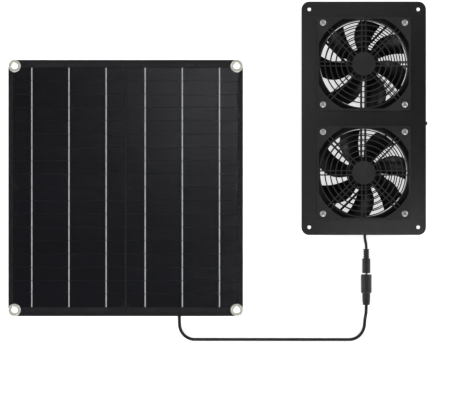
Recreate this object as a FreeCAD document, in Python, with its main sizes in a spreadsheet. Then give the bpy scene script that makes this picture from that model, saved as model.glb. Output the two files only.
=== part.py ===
"""Solar attic fan: a twin extractor on a mounting plate, fed by a solar panel through a plug and socket.

Millimetres. The object lies on its back, +Z up, +X from the panel to the fans, +Y towards the top of
both units. The origin is the middle of the ground face of its bounding box, without its cords.
Positions inside a fan are taken from the fan's axis and from the rear face of its housing.
"""
import FreeCAD, Part
import math
import os
import re
import Sketcher
from FreeCAD import Placement, Rotation, Vector

SIZES = {
    # how the two units lie beside each other
    "unit_gap": 75.1,
    "layout_depth": 404.9,
    # solar panel
    "panel_width": 303.0,
    "panel_length": 331.0,
    "panel_corner": 8.0,
    "backing_thick": 2.0,
    "film_thick": 0.8,
    "film_cover": 0.4,
    "cell_columns": 2,
    "cell_rows": 18,
    "cell_wide": 144.0,
    "cell_pitch": 17.2,
    "cell_thick": 0.2,
    "column_gap": 2.4,
    "row_gap": 0.4,
    "field_shift": 0.8,
    "field_room": 0.5,
    "ribbons_per_cell": 3,
    "ribbon_wide": 1.5,
    "ribbon_thick": 0.12,
    "ribbon_break": 0.7,
    "bus_wide": 4.0,
    "bus_room": 1.6,
    # eyelets in the panel's corners
    "eyelet_inset": 8.0,
    "eyelet_flange": 8.0,
    "eyelet_barrel": 4.5,
    "eyelet_bore": 4.0,
    "eyelet_rim": 0.7,
    "eyelet_land": 1.0,
    # junction box under the panel
    "box_offset": 69.7,
    "box_from_edge": 70.0,
    "box_wide": 64.0,
    "box_long": 50.0,
    "box_tall": 11.0,
    "box_wall": 2.0,
    "box_corner": 4.0,
    "lid_thick": 2.0,
    "gasket_thick": 0.4,
    "lug_inset": 5.5,
    "lug_radius": 3.2,
    "lid_screw_radius": 1.25,
    "lid_screw_head": 2.3,
    "lid_screw_long": 7.0,
    "terminal_apart": 24.0,
    "terminal_wide": 8.0,
    "terminal_long": 12.0,
    "terminal_thick": 0.8,
    "terminal_post": 4.0,
    "terminal_z": 5.6,
    "diode_radius": 2.4,
    "diode_long": 9.0,
    "diode_lead": 0.4,
    "core_radius": 0.9,
    "core_apart": 4.4,
    # gland on the junction box
    "gland_z": 5.7,
    "gland_flange": 3.25,
    "gland_neck": 2.8,
    "gland_tip": 2.3,
    "gland_collar": 1.6,
    "gland_reach": 12.0,
    "gland_rim": 2.0,
    # cords and leads
    "panel_cord_radius": 2.1,
    "fan_cord_radius": 1.8,
    "lead_radius": 1.3,
    # plug and socket
    "connector_offset": 4.4,
    "cord_show": 18.2,
    "relief_long": 11.6,
    "relief_radius": 4.0,
    "relief_root": 3.3,
    "relief_ribs": 4,
    "plug_long": 19.6,
    "plug_radius": 5.35,
    "mate_gap": 1.6,
    "socket_long": 24.5,
    "socket_radius": 7.0,
    "tail_long": 15.1,
    "tail_radius": 5.2,
    "tail_tip": 4.5,
    "barrel_radius": 2.75,
    "barrel_long": 10.0,
    "contact_wall": 0.5,
    "contact_play": 0.08,
    "pin_radius": 1.0,
    "socket_depth": 9.4,
    "pin_back": 1.4,
    "edge_round": 1.2,
    # mounting plate
    "plate_width": 160.0,
    "plate_length": 300.0,
    "plate_thick": 1.5,
    "plate_corner": 10.0,
    "plate_hole": 2.3,
    "plate_hole_inset": 10.0,
    "fan_spacing": 140.0,
    # guards
    "fan_width": 120.0,
    "guard_thick": 4.5,
    "guard_corner": 3.0,
    "guard_opening": 63.3,
    "guard_rail": 2.3,
    "rib_wide": 1.4,
    "rib_tall": 2.5,
    "rib_sunk": 1.0,
    "ring_count": 6,
    "ring_pitch": 7.0,
    "front_ring": 22.0,
    "rear_ring": 20.7,
    "disc_radius": 15.1,
    "spoke_apart": 5.3,
    "rib_bite": 1.2,
    # fan housing
    "fan_depth": 25.0,
    "fan_corner": 5.0,
    "fan_bore": 57.0,
    "barrel_wall": 2.0,
    "flange_thick": 3.5,
    "screw_apart": 105.0,
    "strut_offset": 13.4,
    "strut_wide": 3.0,
    "strut_tall": 3.4,
    "lead_strut_wide": 5.4,
    "lead_strut_tall": 4.2,
    "channel_floor": 1.25,
    "channel_play": 0.2,
    "base_radius": 21.0,
    "base_thick": 2.2,
    "tube_radius": 5.2,
    "tube_step": 3.4,
    # guard screws and nuts
    "screw_radius": 2.0,
    "screw_play": 0.25,
    "screw_end": 0.4,
    "screw_chamfer": 0.4,
    "head_radius": 4.0,
    "head_tall": 2.4,
    "cross_long": 4.6,
    "cross_wide": 0.9,
    "cross_deep": 1.5,
    "nut_across": 7.0,
    "nut_tall": 3.2,
    "nut_play": 0.15,
    # rotor
    "hub_radius": 20.0,
    "hub_wall": 1.8,
    "hub_sunk": 1.2,
    "hub_rear": 5.4,
    "hub_cap": 2.0,
    "hub_round": 1.5,
    "boss_radius": 3.2,
    "boss_rear": 17.0,
    "blade_count": 7,
    "tip_play": 1.4,
    "blade_thick": 1.5,
    "blade_camber": 1.8,
    "blade_sunk": 3.0,
    "blade_rear": 6.2,
    "lead_edge_turn": -5.0,
    "lead_edge_sweep": 16.0,
    "lead_edge_power": 1.85,
    "trail_edge_turn": 33.2,
    "trail_edge_sweep": 7.2,
    "trail_edge_power": 1.6,
    "sweep_from": 24.0,
    "sweep_over": 30.0,
    "upper_turn": 34.5,
    "lower_turn": 6.5,
    # motor
    "yoke_wall": 0.9,
    "yoke_rear": 6.0,
    "yoke_sunk": 1.8,
    "magnet_wall": 1.9,
    "magnet_inset": 0.6,
    "shaft_radius": 1.5,
    "shaft_rear": 1.0,
    "shaft_play": 0.03,
    "shaft_chamfer": 0.3,
    "bearing_radius": 4.0,
    "bearing_tall": 3.0,
    "bearing_shield": 0.35,
    "race_wall": 0.6,
    "end_play": 0.05,
    "clip_z": 2.3,
    "clip_thick": 0.5,
    "clip_radius": 2.8,
    "clip_groove": 1.15,
    "clip_mouth": 1.8,
    "washer_radius": 3.1,
    "washer_thick": 0.4,
    "washer_cone": 0.6,
    "washer_play": 0.2,
    "air_gap": 0.6,
    "stator_rear": 7.5,
    "stator_tall": 6.0,
    "core_ring": 7.5,
    "tooth_wide": 3.4,
    "shoe_turn": 36.0,
    "shoe_thick": 2.0,
    "coil_start": 8.0,
    "coil_deep": 3.0,
    "coil_side": 2.1,
    "coil_over": 1.8,
    "board_radius": 16.5,
    "board_z": 2.4,
    "board_thick": 1.2,
    "board_room": 0.2,
    "lead_start": 9.0,
    "lead_z": 2.6,
    # splice and tie on the leads
    "splice_radius": 3.2,
    "splice_long": 14.0,
    "splice_offset": 31.1,
    "splice_drop": 135.0,
    "lead_pitch": 3.1,
    "tie_reach": 3.3,
    "tie_drop": 5.8,
    "tie_wall": 0.8,
    "tie_wide": 2.6,
    "tie_head": 4.0,
    "tie_gap": 0.2,
}

# Where things lie, worked out from the sizes above.
PLACES = {
    "layout_width": "panel_width + unit_gap + plate_width + tie_reach",
    "panel_x": "(panel_width - layout_width) / 2",
    "panel_y": "(panel_length - layout_depth) / 2",
    "plate_x": "(layout_width - plate_width) / 2 - tie_reach",
    "plate_y": "(layout_depth - plate_length) / 2",
    "upper_y": "plate_y + fan_spacing / 2",
    "lower_y": "plate_y - fan_spacing / 2",
    "plate_z": "guard_thick + fan_depth",
    "front_guard_z": "plate_z + plate_thick",
    "head_z": "front_guard_z + guard_thick",
    "backing_z": "box_tall",
    "cells_z": "backing_z + backing_thick",
    "ribbons_z": "cells_z + cell_thick",
    "field_wide": "cell_columns * cell_wide + (cell_columns - 1) * column_gap",
    "field_long": "cell_rows * cell_pitch - row_gap",
    "eyelet_dx": "panel_width / 2 - eyelet_inset",
    "eyelet_dy": "panel_length / 2 - eyelet_inset",
    "eyelet_clear": "eyelet_flange - eyelet_land",
    "box_x": "panel_x + box_offset",
    "box_y": "panel_y - panel_length / 2 + box_from_edge",
    "box_floor": "lid_thick + gasket_thick",
    "lug_dx": "box_wide / 2 - lug_inset",
    "lug_dy": "box_long / 2 - lug_inset",
    "gland_y": "box_y - box_long / 2",
    "connector_x": "plate_x + connector_offset",
    "connector_z": "socket_radius",
    "plug_top": "plate_y - plate_length / 2 - cord_show",
    "plug_face": "plug_top - relief_long - plug_long",
    "socket_face": "plug_face - mate_gap",
    "socket_end": "socket_face - socket_long - tail_long",
    "inner_radius": "pin_radius + contact_play + contact_wall",
    "guard_flat": "fan_width / 2 - guard_rail",
    "hole_radius": "screw_radius + screw_play",
    "screw_at": "screw_apart / 2",
    "barrel_outer": "fan_bore + barrel_wall",
    "screw_long": "head_z - screw_end",
    "hub_front": "fan_depth - hub_sunk",
    "blade_front": "fan_depth - blade_sunk",
    "shaft_front": "hub_front - hub_cap",
    "yoke_front": "shaft_front - yoke_sunk",
    "tube_tall": "boss_rear - washer_thick",
    "upper_bearing": "tube_tall - bearing_tall - end_play",
    "yoke_outer": "hub_radius - hub_wall",
    "magnet_outer": "hub_radius - hub_wall - yoke_wall",
    "stator_radius": "magnet_outer - magnet_wall - air_gap",
    "blade_tip": "fan_bore - tip_play",
    "lead_height": "guard_thick + lead_z",
    "splice_x": "plate_x + splice_offset",
    "splice_y": "plate_y - splice_drop",
}

doc = FreeCAD.newDocument("solar_attic_fan")
sheet = doc.addObject("Spreadsheet::Sheet", "Sizes")
for row, (alias, number) in enumerate(SIZES.items(), start=1):
    sheet.set(f"A{row}", alias)
    sheet.set(f"B{row}", str(number))
    sheet.setAlias(f"B{row}", alias)
doc.recompute()
places = doc.addObject("App::VarSet", "Places")


def bind(formula):
    """Turns the names in a formula into references to the sheet and to the worked-out places."""

    def reference(match):
        word = match.group(0)
        if word in SIZES:
            return "Sizes." + word
        if word in PLACES:
            return "Places." + word
        return word

    return re.sub(r"[a-z][a-z0-9_]*", reference, str(formula))


for place_name, place_formula in PLACES.items():
    places.addProperty("App::PropertyFloat", place_name)
    places.setExpression(place_name, bind(place_formula))
doc.recompute()


def size(name):
    """The present value of a size or of a worked-out place."""
    if name in SIZES:
        return float(getattr(sheet, name))
    return float(getattr(places, name))


# ---------------------------------------------------------------- ways of making a piece

nodes = []
X_WAY = Vector(1, 0, 0)
Y_WAY = Vector(0, 1, 0)
Z_WAY = Vector(0, 0, 1)
LYING_ALONG_Y = Rotation(X_WAY, -90)
LYING_ALONG_X = Rotation(Y_WAY, 90)


def drive(thing, prop, formula):
    thing.setExpression(prop, bind(formula))


def place(thing, x="0", y="0", z="0"):
    for axis, formula in zip("xyz", (x, y, z)):
        drive(thing, f"Placement.Base.{axis}", formula)
    return thing


def node(thing, label, x="0", y="0", z="0"):
    """Finishes a sub-part: its label names its file."""
    thing.Label = label
    place(thing, x, y, z)
    nodes.append(thing)
    return thing


def block(name, wide, deep, tall, x="0", y="0", z="0"):
    """A box centred on x and y that stands on z."""
    thing = doc.addObject("Part::Box", name)
    drive(thing, "Length", wide)
    drive(thing, "Width", deep)
    drive(thing, "Height", tall)
    return place(thing, f"{x} - ({wide}) / 2", f"{y} - ({deep}) / 2", z)


def rod(name, radius, tall, x="0", y="0", z="0", lying=None):
    thing = doc.addObject("Part::Cylinder", name)
    drive(thing, "Radius", radius)
    drive(thing, "Height", tall)
    if lying:
        thing.Placement = Placement(Vector(), lying)
    return place(thing, x, y, z)


def fuse(name, parts):
    thing = doc.addObject("Part::MultiFuse", name)
    thing.Shapes = parts
    return thing


def cut(name, base, tools):
    thing = doc.addObject("Part::Cut", name)
    thing.Base = base
    thing.Tool = tools[0] if len(tools) == 1 else fuse(name + "_tools", tools)
    return thing


def common(name, parts):
    thing = doc.addObject("Part::MultiCommon", name)
    thing.Shapes = parts
    return thing


def mirrored(name, source, normal):
    thing = doc.addObject("Part::Mirroring", name)
    thing.Source = source
    thing.Normal = normal
    return thing


def four_corners(name, source):
    """The source and its three mirror images about the X and Y planes."""
    pair = fuse(name + "_pair", [source, mirrored(name + "_across", source, X_WAY)])
    return fuse(name, [pair, mirrored(name + "_along", pair, Y_WAY)])


def origin_feature(body, role):
    return [feature for feature in body.Origin.OriginFeatures if feature.Role == role][0]


def sketch_on(body, name, plane="XY_Plane", offset="0"):
    sketch = body.newObject("Sketcher::SketchObject", name)
    sketch.AttachmentSupport = (origin_feature(body, plane), "")
    sketch.MapMode = "FlatFace"
    drive(sketch, "AttachmentOffset.Base.z", offset)
    return sketch


def pin_point(sketch, geometry, point, x, y):
    """Holds one point of a sketch at x, y, by its distances from the sketch's origin."""
    for kind, axis, formula in (("DistanceX", -2, x), ("DistanceY", -1, y)):
        if formula == "0":
            sketch.addConstraint(Sketcher.Constraint("PointOnObject", geometry, point, axis))
        else:
            index = sketch.addConstraint(Sketcher.Constraint(kind, -1, 1, geometry, point, 1.0))
            drive(sketch, f"Constraints[{index}]", formula)


def outline(sketch, points):
    """A closed outline of straight lines through points given as formulas."""
    count = len(points)
    ring = [Rotation(Z_WAY, 360.0 * k / count).multVec(X_WAY) for k in range(count)]
    lines = []
    for k in range(count):
        lines.append(sketch.addGeometry(Part.LineSegment(ring[k], ring[(k + 1) % count])))
    for k in range(count):
        sketch.addConstraint(Sketcher.Constraint("Coincident", lines[k], 2, lines[(k + 1) % count], 1))
    for line, (x, y) in zip(lines, points):
        pin_point(sketch, line, 1, x, y)


def rectangle(sketch, wide, tall, x="0", y="0"):
    left = f"({x}) - ({wide}) / 2"
    right = f"({x}) + ({wide}) / 2"
    low = f"({y}) - ({tall}) / 2"
    high = f"({y}) + ({tall}) / 2"
    outline(sketch, [(left, low), (right, low), (right, high), (left, high)])


def circle(sketch, radius, x="0", y="0"):
    index = sketch.addGeometry(Part.Circle(Vector(0.1, 0.1, 0), Z_WAY, 1.0))
    pin_point(sketch, index, 3, x, y)
    dimension = sketch.addConstraint(Sketcher.Constraint("Radius", index, 1.0))
    drive(sketch, f"Constraints[{dimension}]", radius)


def pad(body, sketch, length, name):
    feature = body.newObject("PartDesign::Pad", name)
    feature.Profile = sketch
    drive(feature, "Length", length)
    body.Tip = feature
    return feature


def pocket_up(body, sketch, depth, name):
    """Cuts from the sketch's plane upwards."""
    feature = body.newObject("PartDesign::Pocket", name)
    feature.Profile = sketch
    feature.Reversed = True
    drive(feature, "Length", depth)
    body.Tip = feature
    return feature


def polar(body, originals, count, name):
    feature = body.newObject("PartDesign::PolarPattern", name)
    feature.Originals = originals
    feature.Axis = (origin_feature(body, "Z_Axis"), [""])
    feature.Angle = 360
    drive(feature, "Occurrences", count)
    body.Tip = feature
    return feature


def linear(body, originals, way, length, count, name):
    feature = body.newObject("PartDesign::LinearPattern", name)
    feature.Originals = originals
    feature.Direction = (origin_feature(body, way), [""])
    drive(feature, "Length", length)
    drive(feature, "Occurrences", count)
    body.Tip = feature
    return feature


def slab(name, wide, deep, thick, corner):
    """A plate with round corners, centred on its own origin, standing on its own zero height."""
    body = doc.addObject("PartDesign::Body", name)
    sketch = sketch_on(body, name + "_outline")
    rectangle(sketch, wide, deep)
    plate = pad(body, sketch, thick, name + "_pad")
    doc.recompute()
    upright = []
    for number, edge in enumerate(plate.Shape.Edges, start=1):
        if abs(edge.BoundBox.ZLength) > max(edge.BoundBox.XLength, edge.BoundBox.YLength):
            upright.append(f"Edge{number}")
    rounded = body.newObject("PartDesign::Fillet", name + "_corners")
    rounded.Base = (plate, upright)
    drive(rounded, "Radius", corner)
    body.Tip = rounded
    return body


def turned(name, profile, plane="XZ_Plane"):
    """A turned piece: profile points are (radius, height) about Z, or about Y on the XY plane."""
    body = doc.addObject("PartDesign::Body", name)
    sketch = sketch_on(body, name + "_profile", plane)
    outline(sketch, profile)
    feature = body.newObject("PartDesign::Revolution", name + "_turn")
    feature.Profile = sketch
    feature.ReferenceAxis = (sketch, ["V_Axis"])
    feature.Angle = 360
    body.Tip = feature
    return body


def ring(name, outer, inner, tall, z="0"):
    """A plain ring about the Z axis, turned from a rectangle."""
    top = f"({z}) + ({tall})"
    return turned(name, [(inner, z), (outer, z), (outer, top), (inner, top)])


def route_wire(points):
    """Straight runs joined by arcs that take up 0.45 of the shorter run each side of a point."""
    share = 0.45
    edges = []
    radii = []
    start = points[0]
    for before, corner, after in zip(points, points[1:], points[2:]):
        back = (before - corner).normalize()
        ahead = (after - corner).normalize()
        half_turn = (math.pi - back.getAngle(ahead)) / 2
        reach = share * min(corner.distanceToPoint(before), corner.distanceToPoint(after))
        bend = reach / math.tan(half_turn)
        middle = corner + (back + ahead).normalize() * (bend / math.cos(half_turn) - bend)
        edges.append(Part.LineSegment(start, corner + back * reach).toShape())
        edges.append(Part.Arc(corner + back * reach, middle, corner + ahead * reach).toShape())
        start = corner + ahead * reach
        radii.append(bend)
    edges.append(Part.LineSegment(start, points[-1]).toShape())
    return Part.Wire(edges), radii


def tube(label, points, radius):
    """A cord, cable or lead: one round tube along its route."""
    wire, radii = route_wire(points)
    section = Part.Circle(points[0], points[1] - points[0], radius).toShape()
    shape = wire.makePipeShell([Part.Wire([section])], True, False)
    if shape.Volume < 0:
        shape.reverse()
    expected = math.pi * radius ** 2 * wire.Length
    if abs(shape.Volume - expected) > 0.01 * expected:
        raise ValueError(f"{label} does not hold its section times its length")
    smallest = min(radii)
    listed = ", ".join(f"{bend:.0f}" for bend in radii)
    print(f"{label}: length {wire.Length:.1f}, smallest bend {smallest:.1f}, bends {listed}")
    thing = doc.addObject("Part::Feature", label)
    thing.Shape = shape
    thing.Placement = Placement()
    thing.Label = label
    nodes.append(thing)
    return thing


# ---------------------------------------------------------------- solar panel


def corner_rods(name, radius, tall, z):
    """Four rods, one on each eyelet's axis, about the panel's centre."""
    return four_corners(name, rod(name + "_one", radius, tall, "eyelet_dx", "eyelet_dy", z))


def eyelet_holes(name):
    return corner_rods(name, "eyelet_barrel", "2 * (backing_thick + film_thick)", "-film_thick")


def make_panel_board():
    board = slab("backing_board", "panel_width", "panel_length", "backing_thick", "panel_corner")
    backing = cut("backing", board, [eyelet_holes("backing_holes")])
    node(backing, "panel_backing", "panel_x", "panel_y", "backing_z")

    sheet_body = slab("film_sheet", "panel_width", "panel_length", "film_thick", "panel_corner")
    field = block(
        "film_field",
        "field_wide + 2 * field_room",
        "field_long + 2 * (bus_wide + bus_room + field_room)",
        "film_thick - film_cover",
        "0",
        "field_shift",
    )
    corners = corner_rods("film_lands", "eyelet_clear", "film_thick", "0")
    recess = cut("film_recess", field, [corners])
    film = cut("film", sheet_body, [recess, eyelet_holes("film_holes")])
    node(film, "panel_front_film", "panel_x", "panel_y", "cells_z")


def column_x(column):
    """Middle of a column of cells, from the panel's centre."""
    return f"({column} - (cell_columns - 1) / 2) * (cell_wide + column_gap)"


def make_cells():
    body = doc.addObject("PartDesign::Body", "cell_body")
    strip = sketch_on(body, "cell_row")
    first_row = "field_shift - field_long / 2 + (cell_pitch - row_gap) / 2"
    for column in range(int(size("cell_columns"))):
        rectangle(strip, "cell_wide", "cell_pitch - row_gap", column_x(column), first_row)
    row = pad(body, strip, "cell_thick", "cell_pad")
    linear(body, [row], "Y_Axis", "(cell_rows - 1) * cell_pitch", "cell_rows", "cell_rows_pattern")
    corners = corner_rods("cell_corners", "eyelet_clear + field_room", "cell_thick", "0")
    strips = cut("cells", body, [corners])
    node(strips, "cell_strips", "panel_x", "panel_y", "cells_z")


def make_ribbons():
    """Three silver ribbons down each column, broken where one strip overlaps the next."""
    body = doc.addObject("PartDesign::Body", "ribbon_body")
    sketch = sketch_on(body, "ribbon_row")
    first_row = "field_shift - field_long / 2 + (cell_pitch - row_gap) / 2"
    for column in range(int(size("cell_columns"))):
        for ribbon in range(int(size("ribbons_per_cell"))):
            across = f"({ribbon} - (ribbons_per_cell - 1) / 2) * cell_wide / ribbons_per_cell"
            x = f"{column_x(column)} + {across}"
            rectangle(sketch, "ribbon_wide", "cell_pitch - ribbon_break", x, first_row)
    row = pad(body, sketch, "ribbon_thick", "ribbon_pad")
    linear(body, [row], "Y_Axis", "(cell_rows - 1) * cell_pitch", "cell_rows", "ribbon_rows")
    node(body, "cell_ribbons", "panel_x", "panel_y", "ribbons_z")

    reach = "field_long / 2 + bus_room + bus_wide / 2"
    wide = "field_wide - 2 * (eyelet_flange + eyelet_inset)"
    top = block("bus_top", wide, "bus_wide", "cell_thick", "0", f"field_shift + {reach}")
    half = f"({wide} - column_gap) / 2"
    shift = f"({half} + column_gap) / 2"
    low_left = block("bus_left", half, "bus_wide", "cell_thick", f"-{shift}", f"field_shift - ({reach})")
    low_right = block("bus_right", half, "bus_wide", "cell_thick", shift, f"field_shift - ({reach})")
    node(fuse("bus", [top, low_left, low_right]), "bus_ribbons", "panel_x", "panel_y", "cells_z")


def make_eyelets():
    board = "backing_thick + film_thick"
    one = turned(
        "eyelet_one",
        [
            ("eyelet_bore", "-eyelet_rim"),
            ("eyelet_barrel", "-eyelet_rim"),
            ("eyelet_barrel", board),
            ("eyelet_flange", board),
            ("eyelet_flange", f"{board} + eyelet_rim / 2"),
            ("eyelet_flange - eyelet_rim", f"{board} + eyelet_rim"),
            ("eyelet_barrel + eyelet_rim / 2", f"{board} + eyelet_rim"),
            ("eyelet_bore", f"{board} + eyelet_rim / 3"),
        ],
    )
    place(one, "eyelet_dx", "eyelet_dy")
    node(four_corners("eyelets", one), "corner_eyelets", "panel_x", "panel_y", "backing_z")
    washer = ring("washer_one", "eyelet_flange", "eyelet_barrel", "eyelet_rim", "-eyelet_rim")
    place(washer, "eyelet_dx", "eyelet_dy")
    node(four_corners("washers", washer), "eyelet_washers", "panel_x", "panel_y", "backing_z")


# ---------------------------------------------------------------- junction box


def make_box_shell():
    """A tray glued to the panel's back, open downwards, with four screw lugs."""
    tall = "box_tall - box_floor"
    shell = slab("box_shell", "box_wide", "box_long", tall, "box_corner")
    room = block("box_room", "box_wide - 2 * box_wall", "box_long - 2 * box_wall", f"{tall} - box_wall")
    hollow = cut("box_hollow", shell, [room])
    lug = rod("box_lug", "lug_radius", f"{tall} - box_wall / 2", "lug_dx", "lug_dy")
    limit = slab("box_limit", "box_wide", "box_long", tall, "box_corner")
    lugs = common("box_lugs_inside", [four_corners("box_lugs", lug), limit])
    solid = fuse("box_solid", [hollow, lugs])
    thread = rod("box_thread", "lid_screw_radius", "lid_screw_long", "lug_dx", "lug_dy")
    mouth = rod(
        "box_mouth",
        "gland_neck",
        "2 * box_wall",
        "0",
        "-box_long / 2 - box_wall / 2",
        "gland_z - box_floor",
        LYING_ALONG_Y,
    )
    box = cut("box", solid, [four_corners("box_threads", thread), mouth])
    node(box, "junction_box", "box_x", "box_y", "box_floor")


def make_box_lid():
    plain = slab("lid_plate", "box_wide", "box_long", "lid_thick", "box_corner")
    seat = "lid_screw_head - lid_screw_radius"
    bore = turned(
        "lid_bore",
        [
            ("0", "-lid_thick"),
            ("lid_screw_head", "-lid_thick"),
            ("lid_screw_head", "0"),
            ("lid_screw_radius", seat),
            ("lid_screw_radius", "2 * lid_thick"),
            ("0", "2 * lid_thick"),
        ],
    )
    place(bore, "lug_dx", "lug_dy")
    node(cut("lid", plain, [four_corners("lid_bores", bore)]), "junction_box_lid", "box_x", "box_y")

    edge = slab("gasket_plate", "box_wide", "box_long", "gasket_thick", "box_corner")
    half = "-gasket_thick / 2"
    inner_wide = "box_wide - 2 * box_wall"
    room = block("gasket_room", inner_wide, "box_long - 2 * box_wall", "2 * gasket_thick", z=half)
    hole = rod("gasket_hole", "lid_screw_radius", "2 * gasket_thick", "lug_dx", "lug_dy", half)
    gasket = cut("gasket", edge, [room, four_corners("gasket_holes", hole)])
    node(gasket, "junction_box_gasket", "box_x", "box_y", "lid_thick")

    screw = turned(
        "lid_screw",
        [
            ("0", "0"),
            ("lid_screw_head", "0"),
            ("lid_screw_radius", seat),
            ("lid_screw_radius", "lid_screw_long"),
            ("0", "lid_screw_long"),
        ],
    )
    deep = "lid_screw_radius / 2"
    slots = cross_slots("lid_screw", "lid_screw_head * 1.2", "lid_screw_head / 4", deep, "0")
    screw_cut = place(cut("lid_screw_cross", screw, slots), "lug_dx", "lug_dy")
    node(four_corners("lid_screws", screw_cut), "junction_box_screws", "box_x", "box_y")


def cross_slots(name, long, wide, deep, z):
    """Two slots that cross, for a screwdriver."""
    first = block(name + "_slot_x", long, wide, deep, z=z)
    second = block(name + "_slot_y", wide, long, deep, z=z)
    return [first, second]


def make_box_inside():
    reach = "box_tall - box_wall - terminal_z"
    side = "terminal_apart / 2"
    low = "terminal_z"
    blade = block("terminal_blade", "terminal_wide", "terminal_long", "terminal_thick", side, "0", low)
    post = block("terminal_stem", "terminal_post", "terminal_post", reach, side, "0", low)
    one = fuse("terminal_one", [blade, post])
    pair = fuse("terminals", [one, mirrored("terminal_other", one, X_WAY)])
    node(pair, "junction_box_terminals", "box_x", "box_y")

    axis = "terminal_z - diode_lead"
    body = rod("diode_body", "diode_radius", "diode_long", "-diode_long / 2", "0", axis, LYING_ALONG_X)
    wire_long = "terminal_apart + terminal_wide / 2"
    wire = rod("diode_wire", "diode_lead", wire_long, f"-({wire_long}) / 2", "0", axis, LYING_ALONG_X)
    node(fuse("diode", [body, wire]), "bypass_diode", "box_x", "box_y")


def make_gland():
    """A bush through the box's wall, tapered where the cord leaves it."""
    gland = turned(
        "gland",
        [
            ("0", "-gland_reach"),
            ("gland_tip", "-gland_reach"),
            ("gland_neck", "-gland_rim"),
            ("gland_flange", "-gland_rim"),
            ("gland_flange", "0"),
            ("gland_neck", "0"),
            ("gland_neck", "box_wall"),
            ("gland_flange", "box_wall"),
            ("gland_flange", "box_wall + gland_collar"),
            ("0", "box_wall + gland_collar"),
        ],
        "XY_Plane",
    )
    node(gland, "cable_gland", "box_x", "gland_y", "gland_z")


def make_box_leads():
    inside = size("gland_y") + size("box_wall") + size("gland_collar")
    blade_edge = size("box_y") - size("terminal_long") / 2
    level = size("gland_z")
    blade_level = size("terminal_z") + size("terminal_thick") / 2
    step = (blade_edge - inside) / 4
    wires = []
    for side in (-1, 1):
        near = size("box_x") + side * size("core_apart") / 2
        far = size("box_x") + side * size("terminal_apart") / 2
        route = [
            Vector(near, inside, level),
            Vector(near, inside + step, level),
            Vector(far, blade_edge - step, blade_level),
            Vector(far, blade_edge, blade_level),
        ]
        wire, _ = route_wire(route)
        section = Part.Circle(route[0], route[1] - route[0], size("core_radius")).toShape()
        wires.append(wire.makePipeShell([Part.Wire([section])], True, False))
    thing = doc.addObject("Part::Feature", "junction_box_leads")
    thing.Shape = Part.makeCompound(wires)
    thing.Placement = Placement()
    thing.Label = "junction_box_leads"
    nodes.append(thing)


# ---------------------------------------------------------------- mounting plate and guards


def opening(name, tall, z, y="0"):
    """The airway through plate and guards: a circle with flats where it nears the frame's sides."""
    circle_part = rod(name + "_round", "guard_opening", tall, "0", y, z)
    flats = block(name + "_flats", "2 * guard_flat", "2 * guard_flat", tall, "0", y, z)
    return common(name, [circle_part, flats])


def make_mounting_plate():
    body = slab("plate_sheet", "plate_width", "plate_length", "plate_thick", "plate_corner")
    holes = sketch_on(body, "plate_holes")
    for side in ("-", ""):
        for end in ("-", ""):
            x = f"{side}(plate_width / 2 - plate_hole_inset)"
            y = f"{end}(plate_length / 2 - plate_hole_inset)"
            circle(holes, "plate_hole", x, y)
    for end in ("-", ""):
        fan = f"{end}(fan_spacing / 2)"
        for across in ("-", ""):
            for along in ("-", ""):
                circle(holes, "hole_radius", f"{across}(screw_at)", f"{fan} + {along}(screw_at)")
    pocket_up(body, holes, "plate_thick", "plate_pocket")
    tall = "3 * plate_thick"
    upper = opening("plate_upper_opening", tall, "-plate_thick", "fan_spacing / 2")
    lower = opening("plate_lower_opening", tall, "-plate_thick", "-fan_spacing / 2")
    node(cut("plate", body, [upper, lower]), "mounting_plate", "plate_x", "plate_y", "plate_z")


def guard_ribs(name, first_ring):
    """The centre disc, the rings and the eight double spokes of a guard."""
    body = doc.addObject("PartDesign::Body", name + "_ribs")
    rings = sketch_on(body, name + "_rings", offset="rib_sunk")
    circle(rings, "disc_radius")
    for count in range(int(size("ring_count"))):
        middle = f"{first_ring} + {count} * ring_pitch"
        circle(rings, f"{middle} - rib_wide / 2")
        circle(rings, f"{middle} + rib_wide / 2")
    pad(body, rings, "rib_tall", name + "_ring_pad")
    reaches = {"straight": "guard_flat + rib_bite", "diagonal": "guard_opening + rib_bite"}
    for way, reach in reaches.items():
        spokes = sketch_on(body, f"{name}_{way}_spokes", offset="rib_sunk")
        if way == "diagonal":
            spokes.AttachmentOffset = Placement(Vector(), Rotation(Z_WAY, 45))
            drive(spokes, "AttachmentOffset.Base.z", "rib_sunk")
        start = "disc_radius / 2"
        for side in ("-", ""):
            x = f"({start} + {reach}) / 2"
            rectangle(spokes, f"{reach} - {start}", "rib_wide", x, f"{side}(spoke_apart / 2)")
        spoke = pad(body, spokes, "rib_tall", f"{name}_{way}_pad")
        polar(body, [spoke], "4", f"{name}_{way}_polar")
    return body


def make_guard(fan, side, y):
    """A square guard; the rear one holds the nuts in hexagonal pockets on its outer face."""
    name = f"{fan}_{side}_guard"
    frame = slab(name + "_frame", "fan_width", "fan_width", "guard_thick", "guard_corner")
    airway = opening(name + "_airway", "2 * guard_thick", "-guard_thick / 2")
    hole = rod(name + "_hole", "hole_radius", "2 * guard_thick", "screw_at", "screw_at", "-guard_thick / 2")
    tools = [airway, four_corners(name + "_holes", hole)]
    if side == "rear":
        pocket = hexagon(name + "_pocket", "nut_across / 2 + nut_play", "nut_tall + nut_play")
        place(pocket, "screw_at", "screw_at")
        tools.append(four_corners(name + "_pockets", pocket))
    cut_frame = cut(name + "_cut", frame, tools)
    guard = fuse(name + "_whole", [cut_frame, guard_ribs(name, f"{side}_ring")])
    z = "0" if side == "rear" else "front_guard_z"
    node(guard, name, "plate_x", y, z)


def hexagon(name, half_across, tall):
    thing = doc.addObject("Part::Prism", name)
    thing.Polygon = 6
    drive(thing, "Circumradius", f"({half_across}) / cos(30)")
    drive(thing, "Height", tall)
    return thing


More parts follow.
